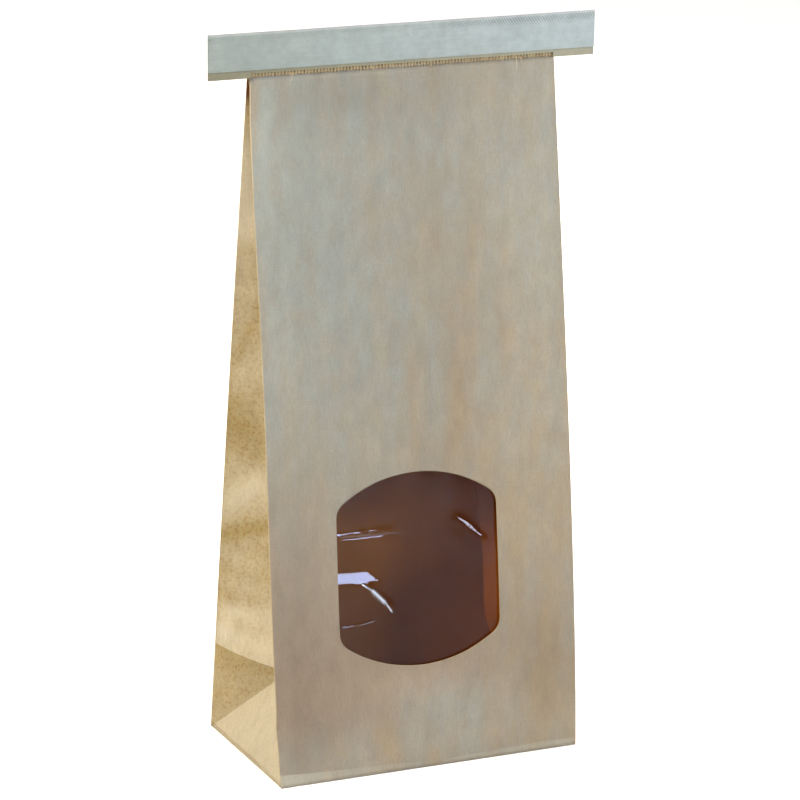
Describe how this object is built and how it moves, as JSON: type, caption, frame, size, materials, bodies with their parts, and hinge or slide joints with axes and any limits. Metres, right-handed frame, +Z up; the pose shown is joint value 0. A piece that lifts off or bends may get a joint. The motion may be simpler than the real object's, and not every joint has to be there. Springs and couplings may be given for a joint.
{
  "type": "kraft paper bag with window and tie strip",
  "caption": "Upright gusseted kraft-paper bag with a clear window in its front, its mouth folded over once under a stiff tie strip.",
  "frame": {"origin": "on the ground under the middle of the bag's flat base", "axes": "+Z up, the window faces -Y, +X to the right as seen from the front"},
  "size_m": [0.1366, 0.063, 0.2458],
  "materials": {
    "kraft_paper": "uncoated brown kraft paper, matt, mottled, with fine fibres",
    "clear_film": "thin clear film, glossy, lightly wrinkled",
    "tie_strip": "pale grey-green coated paper over flat wires, satin"
  },
  "bodies": {
    "root": {"paper_bag": "kraft_paper", "window_film": "clear_film", "tin_tie": "tie_strip"}
  },
  "joints": []
}
